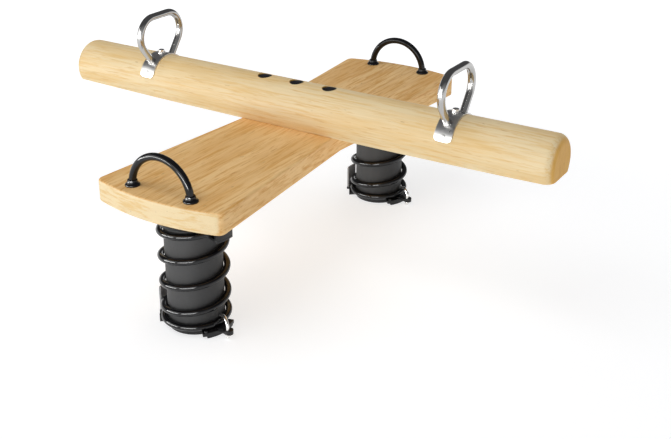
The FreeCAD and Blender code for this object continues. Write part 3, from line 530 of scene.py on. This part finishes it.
def springs():
    for name in FRONT_BACK:
        axis = spring_axis(name)
        steps = round((COIL_STOP - COIL_START) * COIL_STEPS_PER_TURN)
        turns = [COIL_START + (COIL_STOP - COIL_START) * i / steps for i in range(steps + 1)]
        rings = eased_rod([coil_point(axis, t) for t in turns], WIRE_RADIUS, 24, WIRE_END_EASE)
        heights = [sum(p.z for p in ring) / len(ring) for ring in rings]
        bounds = [0]
        for split in SPLIT_HEIGHTS:
            bounds.append(next(i for i, z in enumerate(heights) if z > split))
        bounds.append(len(rings) - 1)
        pieces = []
        for number, (start, stop) in enumerate(zip(bounds, bounds[1:]), start=1):
            part = rings[start:stop + 1]
            obj = from_rings(f"coil_{name}_{number}", part, spring_paint)
            pieces.append(obj)
        bend(pieces, f"spring_{name}")


def bend(pieces, node):
    """Three stacked pieces: each has its transform baked into its mesh, and the CAD node is hidden."""
    for piece, (lower, upper, start, end) in zip(pieces, BEND_ZONES):
        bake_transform(piece)
        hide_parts(node)


def core_sleeves():
    """Dark tubes with eased outer rims, in three pieces split at the same heights as the coils."""
    for name in FRONT_BACK:
        low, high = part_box(f"core_sleeve_{name}")
        axis = spring_axis(name)
        outer = (high.x - low.x) / 2
        rim = [
            (outer - SLEEVE_EASE, 0.0),
            (outer - SLEEVE_EASE * 0.3, SLEEVE_EASE * 0.3),
            (outer, SLEEVE_EASE),
        ]
        levels = [low.z, *SPLIT_HEIGHTS, high.z]
        pieces = []
        for number, (bottom, top) in enumerate(zip(levels, levels[1:]), start=1):
            heights = [bottom + (top - bottom) * i / SLEEVE_STEPS for i in range(SLEEVE_STEPS + 1)]
            rows = [(outer, z) for z in heights]
            if bottom == low.z:
                rows = [(r, low.z + depth) for r, depth in rim] + rows[1:]
            if top == high.z:
                rows = rows[:-1] + [(r, high.z - depth) for r, depth in reversed(rim)]
            rows += [(outer - SLEEVE_WALL, z) for z in reversed(heights)]
            rings = turned(rows, axis, 72)
            piece = from_rings(f"core_{name}_{number}", rings, sleeve_rubber, loop=True)
            pieces.append(piece)
        bend(pieces, f"core_sleeve_{name}")


# ---- Steel handles, saddles and their bolts

HANDLE_BAR, HANDLE_BEND = 11 * MM, 58 * MM
HANDLE_TOP_Z, HANDLE_LEAN = 667.5 * MM, 53.5
HANDLE_FOOT_Y, HANDLE_FOOT_Z = 26 * MM, 502 * MM
SADDLE_RADIUS = 81 * MM
BEAD_RADIUS, BEAD_RIPPLE = 1.9 * MM, 0.25 * MM
SADDLE_HEAD_ACROSS, SADDLE_SHANK = 17 * MM, 5 * MM
SADDLE_WASHER = (5.6 * MM, 12 * MM)
WASHER_EASE = 0.5 * MM


def stirrup(x):
    """Centre line of a steel handle, foot to foot."""
    lean = math.radians(HANDLE_LEAN)
    corner_y = HANDLE_FOOT_Y + (HANDLE_TOP_Z - HANDLE_FOOT_Z) / math.tan(lean)
    reach = HANDLE_BEND * math.tan((math.pi - lean) / 2)
    centre_y, centre_z = corner_y - reach, HANDLE_TOP_Z - HANDLE_BEND
    tangent = Vector((0, corner_y - reach * math.cos(lean), HANDLE_TOP_Z - reach * math.sin(lean)))
    foot = Vector((0, HANDLE_FOOT_Y, HANDLE_FOOT_Z))
    half = [foot.lerp(tangent, i / 16) for i in range(16)]
    sweep = math.pi - lean
    for i in range(41):
        angle = math.pi / 2 - sweep + sweep * i / 40
        y, z = centre_y + HANDLE_BEND * math.cos(angle), centre_z + HANDLE_BEND * math.sin(angle)
        half.append(Vector((0, y, z)))
    top = [half[-1].lerp(Vector((0, -half[-1].y, half[-1].z)), i / 12) for i in range(1, 12)]
    other = [Vector((0, -p.y, p.z)) for p in reversed(half)]
    return [p + Vector((x, 0, 0)) for p in half + top + other]


def weld_line(x, side):
    """Where a handle leg meets the saddle: points round the leg on the strap's outer face."""
    lean = math.radians(HANDLE_LEAN)
    down = Vector((0, -side * math.cos(lean), -math.sin(lean)))
    across = Vector((0, side * math.sin(lean), -math.cos(lean)))
    start = Vector((x, side * HANDLE_FOOT_Y, HANDLE_FOOT_Z)) - down * 60 * MM
    axis = Vector((x, 0, LOG_AXIS_Z))
    line = []
    for k in range(64):
        turn = 2 * math.pi * k / 64
        origin = start + (Vector((1, 0, 0)) * math.cos(turn) + across * math.sin(turn)) * HANDLE_BAR
        offset = origin - axis
        b = offset.y * down.y + offset.z * down.z
        c = offset.y ** 2 + offset.z ** 2 - SADDLE_RADIUS ** 2
        line.append(origin + down * (-b - math.sqrt(max(b * b - c, 0.0))))
    return line


def steel_handles():
    for name in LEFT_RIGHT:
        low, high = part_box(f"steel_handle_{name}")
        x = plan_centre(low, high).x
        path = stirrup(x)
        rod_rings = tube_rings(path, [HANDLE_BAR] * len(path), 40)
        rod = from_rings("rod", rod_rings, polished_steel)
        beads = []
        for sy in SIDES:
            line = weld_line(x, sy)
            radii = [BEAD_RADIUS + BEAD_RIPPLE * math.sin(9 * k) for k in range(len(line))]
            bead_rings = tube_rings(line, radii, 10, loop=True)
            beads.append(from_rings("bead", bead_rings, polished_steel, loop=True))
        handle = joined(f"stirrup_{name}", [rod, *beads], polished_steel)
        stand_in(handle, f"steel_handle_{name}")
        eased_copy(f"handle_saddle_{name}", f"saddle_{name}", strap_steel, 1.0 * MM)


def saddle_fasteners():
    low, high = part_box("saddle_bolts")
    ring_low, ring_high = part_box("saddle_washers")
    heads, washers = [], []
    for name in LEFT_RIGHT:
        box_low, box_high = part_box(f"steel_handle_{name}")
        spot = Vector((plan_centre(box_low, box_high).x, 0, 0))
        head = hex_piece(
            "head", SADDLE_HEAD_ACROSS, ring_high.z, high.z, spot, bright_zinc, turn=0.3
        )
        shank_profile = [(SADDLE_SHANK, low.z), (SADDLE_SHANK, ring_high.z + 1 * MM)]
        shank = from_rings("shank", turned(shank_profile, spot, 32), bright_zinc)
        heads += [head, shank]
        profile = rounded_profile(*SADDLE_WASHER, ring_low.z, ring_high.z, WASHER_EASE)
        washers.append(from_rings("ring", turned(profile, spot, 48), bright_zinc, loop=True))
    stand_in(joined("handle_bolts", heads, bright_zinc), "saddle_bolts")
    stand_in(joined("handle_washers", washers, bright_zinc), "saddle_washers")
    eased_copy("saddle_tab_screws", "tab_screws", strap_steel, 0.4 * MM)


# ---- Hoops and collars

HOOP_TUBE, HOOP_REACH, HOOP_LEG = 10 * MM, 94 * MM, 4 * MM
STUD_RADIUS, STUD_TIP = 5 * MM, 4.2 * MM


def hoops():
    for name in FRONT_BACK:
        low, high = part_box(f"hoop_handle_{name}")
        centre = plan_centre(low, high) + Vector((0, 0, BOARD_HIGH.z + 2 * MM))
        path = [centre + Vector((HOOP_REACH, 0, -HOOP_LEG))]
        for i in range(65):
            angle = math.pi * i / 64
            path.append(centre + Vector((math.cos(angle), 0, math.sin(angle))) * HOOP_REACH)
        path.append(centre + Vector((-HOOP_REACH, 0, -HOOP_LEG)))
        arch_rings = tube_rings(path, [HOOP_TUBE] * len(path), 32)
        arch = from_rings("arch", arch_rings, hoop_paint)
        stud_profile = [
            (STUD_TIP, low.z),
            (STUD_RADIUS, low.z + 0.8 * MM),
            (STUD_RADIUS, BOARD_HIGH.z + 1 * MM),
        ]
        studs, collars = [], []
        for side in SIDES:
            spot = centre + Vector((side * HOOP_REACH, 0, 0))
            studs.append(from_rings("stud", turned(stud_profile, spot, 24), hoop_paint))
            collar_rings = turned(collar_profile(), spot, 56)
            collars.append(
                from_rings("collar", collar_rings, collar_moulding, loop=True)
            )
        hoop = joined(f"hoop_{name}", [arch, *studs], hoop_paint)
        stand_in(hoop, f"hoop_handle_{name}")
        feet = joined(f"collars_{name}", collars, collar_moulding)
        stand_in(feet, f"hoop_collars_{name}")


def collar_profile():
    """A bell foot: a low round flange that sweeps up in an S to a rolled neck."""
    base = BOARD_HIGH.z
    outer = [
        (10.2, 0.0), (19.4, 0.0), (20.0, 0.7), (20.0, 2.6), (19.6, 3.8), (18.7, 4.9),
        (17.2, 6.0), (15.7, 7.6), (14.5, 9.6), (13.7, 11.8), (13.2, 13.4), (13.1, 14.6),
        (12.7, 15.5), (12.0, 16.0), (11.0, 15.9), (10.2, 15.3),
    ]
    return [(r * MM, base + z * MM) for r, z in outer]


# ---- Bolts, plugs, washers and nuts of the deck

LOG_NUT_ACROSS, LOG_WASHER = 19 * MM, (6.5 * MM, 18 * MM)
HOOP_NUT_ACROSS, HOOP_WASHER = 17 * MM, (5.5 * MM, 15 * MM)
PLUG_CROWN_SHARES = (0.96, 0.88, 0.72, 0.5, 0.25, 0.01)
PLUG_CROWN_DROP = 1.9 * MM


def log_fasteners():
    plug_low, plug_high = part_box("log_bolt_plugs")
    radius = (plug_high.y - plug_low.y) / 2
    spots = [Vector((x, 0, 0)) for x in (plug_low.x + radius, 0.0, plug_high.x - radius)]
    plugs = []
    for spot in spots:
        profile = [(0.3 * MM, plug_low.z), (radius - 1 * MM, plug_low.z), (radius, plug_low.z + 1 * MM)]
        profile += [(radius, plug_high.z - 3.4 * MM), (radius - 0.25 * MM, plug_high.z - 2.5 * MM)]
        for share in PLUG_CROWN_SHARES:
            drop = PLUG_CROWN_DROP * share ** 4
            profile.append((radius * share, plug_high.z - drop))
        plugs.append(from_rings("plug", turned(profile, spot, 56), plug_moulding))
    stand_in(joined("cover_plugs", plugs, plug_moulding), "log_bolt_plugs")
    hex_set("through_nuts", "log_bolt_nuts", spots, LOG_NUT_ACROSS, zinc)
    ring_set("through_washers", "log_bolt_washers", spots, LOG_WASHER, zinc)
    eased_copy("log_bolts", "through_bolts", zinc, 0.6 * MM)
    for name in FRONT_BACK:
        low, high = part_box(f"hoop_nuts_{name}")
        middle = plan_centre(low, high).y
        pair = [Vector((side * HOOP_REACH, middle, 0)) for side in SIDES]
        hex_set(f"hoop_nut_pair_{name}", f"hoop_nuts_{name}", pair, HOOP_NUT_ACROSS, zinc)
        ring_set(f"hoop_washer_pair_{name}", f"hoop_washers_{name}", pair, HOOP_WASHER, zinc)


def hex_set(name, node, spots, across, material):
    """Chamfered hexagon nuts at each spot, as tall as the CAD node."""
    low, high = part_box(node)
    pieces = []
    for number, spot in enumerate(spots):
        pieces.append(hex_piece("hex", across, low.z, high.z, spot, material, turn=0.7 * number))
    return stand_in(joined(name, pieces, material), node)


def ring_set(name, node, spots, radii, material):
    """Washers at each spot; radii are the inner and the outer one."""
    low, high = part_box(node)
    profile = rounded_profile(*radii, low.z, high.z, WASHER_EASE)
    pieces = [
        from_rings("ring", turned(profile, spot, 48), material, loop=True) for spot in spots
    ]
    return stand_in(joined(name, pieces, material), node)


# ---- Fittings at the top and the foot of each spring

HOOK_ANGLES = (-14.0, 140.0)
HOOK_SKEW, HOOK_DIP = -19.0, 20.0
HOOK_AT, HOOK_IN, HOOK_BAR, HOOK_BEND = 133 * MM, 80 * MM, 4.5 * MM, 22 * MM
HOOK_GAP = WIRE_RADIUS + HOOK_BAR + 1.0 * MM
HOOK_NUT_ACROSS = 13 * MM

# The CAD sub-parts kept with eased edges: node, name, material, slot, ease.
FOOT_PARTS = (
    ("base_plate", "foot_plate", casting_black, "black_castings", 1.0 * MM),
    ("base_shoes", "shoes", casting_black, "black_castings", 0.8 * MM),
    ("shoe_bolts", "shoe_heads", black_steel, "black_bolts", 0.6 * MM),
    ("tall_bracket", "bracket", bracket_grey, "bracket_steel", 1.0 * MM),
    ("bracket_bolt", "bracket_screw", black_steel, "black_bolts", 0.5 * MM),
)
TOP_PARTS = (
    ("top_plate", "head_plate", casting_black, "black_castings", 1.0 * MM),
    ("top_spacers", "spacers", casting_black, "black_castings", 0.8 * MM),
    ("top_clamps", "clamps", casting_black, "black_castings", 1.0 * MM),
    ("top_clamp_bolts", "clamp_heads", black_steel, "black_bolts", 0.5 * MM),
    ("top_plate_screws", "plate_screws", zinc, "zinc_bolts", 0.5 * MM),
)


def hook_path(axis, angle):
    """A hook bolt's centre line: its tip inside the coil, the bend, then down to the thread."""
    skew, dip = math.radians(HOOK_SKEW), math.radians(HOOK_DIP)
    side, along = HOOK_AT * math.sin(skew), HOOK_AT * math.cos(skew)
    over_coil = along - math.sqrt(COIL_RADIUS ** 2 - side ** 2)
    tip = along - math.sqrt(HOOK_IN ** 2 - side ** 2)
    cross_x, cross_y = HOOK_AT - over_coil * math.cos(skew), -over_coil * math.sin(skew)
    crossing = angle + math.degrees(math.atan2(cross_y, cross_x))
    over = coil_height((crossing - COIL_ZERO_ANGLE) / 360) + HOOK_GAP / math.cos(dip)
    elbow_out = HOOK_BEND * (1 + math.sin(dip))
    elbow_z = over + (over_coil - elbow_out) * math.tan(dip)
    centre_z = elbow_z - HOOK_BEND * math.cos(dip)
    points = []
    for i in range(6):
        out = tip + (elbow_out - tip) * i / 6
        points.append((-out, over - (out - over_coil) * math.tan(dip)))
    sweep = math.pi / 2 + dip
    for i in range(15):
        turn = sweep * (1 - i / 14)
        points.append((HOOK_BEND * (math.cos(turn) - 1), centre_z + HOOK_BEND * math.sin(turn)))
    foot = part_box("hook_bolts_front")[0].z
    for i in range(1, 9):
        points.append((0.0, centre_z + (foot - centre_z) * i / 8))
    turn = math.radians(angle)
    leg = axis + Vector((HOOK_AT * math.cos(turn), HOOK_AT * math.sin(turn), 0))
    inward = Vector((math.cos(turn + skew), math.sin(turn + skew), 0))
    return [leg + inward * out + Vector((0, 0, z)) for out, z in points]


def base_fittings():
    for name in FRONT_BACK:
        axis = spring_axis(name)
        hooks, nuts, domes = [], [], []
        nut_low, nut_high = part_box(f"hook_nuts_{name}")
        dome_low, dome_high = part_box(f"hook_dome_nuts_{name}")
        for angle in HOOK_ANGLES:
            rings = eased_rod(hook_path(axis, angle), HOOK_BAR, 24, 1.0 * MM)
            hooks.append(from_rings("hook", rings, bright_zinc))
            turn = math.radians(angle)
            spot = axis + Vector((HOOK_AT * math.cos(turn), HOOK_AT * math.sin(turn), 0))
            nut = hex_piece(
                "nut", HOOK_NUT_ACROSS, nut_low.z, nut_high.z, spot, bright_zinc
            )
            nuts.append(nut)
            dome_rings = turned(dome_profile(dome_low.z, dome_high.z), spot, 40)
            domes.append(from_rings("dome", dome_rings, bright_zinc))
        sets = (
            ("hooks", hooks, "hook_bolts"),
            ("hook_nut_pair", nuts, "hook_nuts"),
            ("hook_domes", domes, "hook_dome_nuts"),
        )
        for made, pieces, node in sets:
            stand_in(joined(f"{made}_{name}", pieces, bright_zinc), f"{node}_{name}")
        eased_parts(FOOT_PARTS, name)


def dome_profile(low, high):
    radius = high - low
    points = []
    for step in range(9):
        angle = math.radians(88 - 11 * step)
        points.append((radius * math.cos(angle), high - radius * math.sin(angle)))
    points.append((radius - 0.4 * MM, high))
    return points


def eased_parts(parts, name):
    for node, made, material, slot, ease in parts:
        eased_copy(f"{node}_{name}", f"{made}_{name}", material, ease)


def top_fittings():
    for name in FRONT_BACK:
        eased_parts(TOP_PARTS, name)


def wooden_parts():
    for node, material in (("seat_board", board_wood), ("log_beam", log_wood)):
        mesh = frame["nodes"][node].data
        mesh.materials.clear()
        mesh.materials.append(material)


# ---- Floor, light and camera

FLOOR_COLOUR = (0.44, 0.448, 0.462, 1)
CAMERA_AT = (1.63847, -2.42420, 1.50906)
CAMERA_AZIMUTH, CAMERA_ELEVATION = 32.527, 22.64
CAMERA_LENS = 57.14
CAMERA_SHIFT = (0.01754, -0.08491)


def direction(azimuth, elevation):
    """A unit vector from the object. Azimuth 0 is in front, at -Y, and 90 is at +X."""
    turn, rise = math.radians(azimuth), math.radians(elevation)
    return Vector((math.sin(turn) * math.cos(rise), -math.cos(turn) * math.cos(rise), math.sin(rise)))


def floor():
    """A pale plane that glows more with distance, so that its far parts melt into the background."""
    bpy.ops.mesh.primitive_plane_add(size=60, location=(0, 0, -0.0005))
    plane = bpy.context.object
    plane.name = "studio_floor"
    g = Graph("floor_white")
    g.finish(FLOOR_COLOUR, 0.9)
    g.surface.inputs["Specular IOR Level"].default_value = 0.0
    g.surface.inputs["Emission Color"].default_value = (1, 1, 1, 1)
    reach = g.vector("LENGTH", g.place, out="Value")
    g.put(g.surface.inputs["Emission Strength"], g.between(reach, 0.9, 3.2, 0.71, 0.96))
    plane.data.materials.append(g.material)


LIGHTS_AIM = Vector((0, 0, 0.35))


def softbox(name, azimuth, elevation, distance, size, power, lights=True, mirrored=False):
    """An area light that looks at the object: lights shades it, mirrored shows in its gloss."""
    offset = direction(azimuth, elevation)
    light = bpy.data.lights.new(name, "AREA")
    light.shape = "RECTANGLE"
    light.size, light.size_y = size
    light.energy = power
    obj = bpy.data.objects.new(name, light)
    obj.location = LIGHTS_AIM + offset * distance
    obj.rotation_euler = offset.to_track_quat("Z", "Y").to_euler()
    obj.visible_diffuse = lights
    obj.visible_glossy = mirrored
    bpy.context.scene.collection.objects.link(obj)


def surroundings():
    """A studio that is pale in front, dim behind and overhead, and white round the horizon."""
    world = bpy.data.worlds.new("studio")
    world.use_nodes = True
    bpy.context.scene.world = world
    tree = world.node_tree
    background = tree.nodes["Background"]
    heading = tree.nodes.new("ShaderNodeTexCoord").outputs["Generated"]
    slope = tree.nodes.new("ShaderNodeVectorMath")
    slope.operation = "DOT_PRODUCT"
    tree.links.new(heading, slope.inputs[0])
    slope.inputs[1].default_value = (0.35, -0.75, -0.55)
    ramp = tree.nodes.new("ShaderNodeValToRGB")
    tree.links.new(slope.outputs["Value"], ramp.inputs["Fac"])
    ramp.color_ramp.elements[0].position = 0.0
    ramp.color_ramp.elements[0].color = (0.10, 0.10, 0.105, 1)
    ramp.color_ramp.elements[1].position = 0.8
    ramp.color_ramp.elements[1].color = (0.62, 0.62, 0.62, 1)
    height = tree.nodes.new("ShaderNodeSeparateXYZ")
    tree.links.new(heading, height.inputs[0])
    haze = tree.nodes.new("ShaderNodeMapRange")
    haze.interpolation_type = "SMOOTHSTEP"
    tree.links.new(height.outputs["Z"], haze.inputs["Value"])
    haze.inputs["From Min"].default_value = 0.16
    haze.inputs["From Max"].default_value = 0.06
    sky = tree.nodes.new("ShaderNodeMix")
    sky.data_type = "RGBA"
    tree.links.new(haze.outputs["Result"], sky.inputs["Factor"])
    tree.links.new(ramp.outputs["Color"], sky.inputs["A"])
    sky.inputs["B"].default_value = (1.0, 1.0, 1.0, 1)
    tree.links.new(sky.outputs["Result"], background.inputs["Color"])
    background.inputs["Strength"].default_value = 1.0


def camera():
    data = bpy.data.cameras.new("camera")
    data.lens = CAMERA_LENS
    data.sensor_width = 36.0
    data.shift_x, data.shift_y = CAMERA_SHIFT
    data.clip_end = 100
    obj = bpy.data.objects.new("camera", data)
    bpy.context.scene.collection.objects.link(obj)
    obj.location = CAMERA_AT
    back = direction(CAMERA_AZIMUTH, CAMERA_ELEVATION)
    obj.rotation_euler = back.to_track_quat("Z", "Y").to_euler()
    bpy.context.scene.camera = obj


wooden_parts()
springs()
core_sleeves()
steel_handles()
saddle_fasteners()
hoops()
log_fasteners()
base_fittings()
top_fittings()
floor()
softbox("left_strip", -52, 6, 4.5, (2.4, 0.4), 16)
softbox("right_strip", -2, 6, 4.5, (2.4, 0.4), 29)
softbox("overhead", -25, 62, 4.0, (3.0, 3.0), 84)
softbox("overhead_back", 150, 66, 4.0, (3.0, 3.0), 22)
softbox("back_fill", 190, 25, 4.6, (3.0, 1.6), 26)
softbox("left_card", -42, 17, 4.5, (3.6, 2.4), 65, lights=False, mirrored=True)
softbox("left_line", -42, 2.5, 4.5, (3.4, 0.35), 150, lights=False, mirrored=True)
softbox("right_card", 9, 17, 4.5, (3.6, 2.4), 65, lights=False, mirrored=True)
softbox("right_line", 9, 2.5, 4.5, (3.4, 0.35), 150, lights=False, mirrored=True)
surroundings()
camera()
bpy.context.scene.view_settings.view_transform = "Standard"
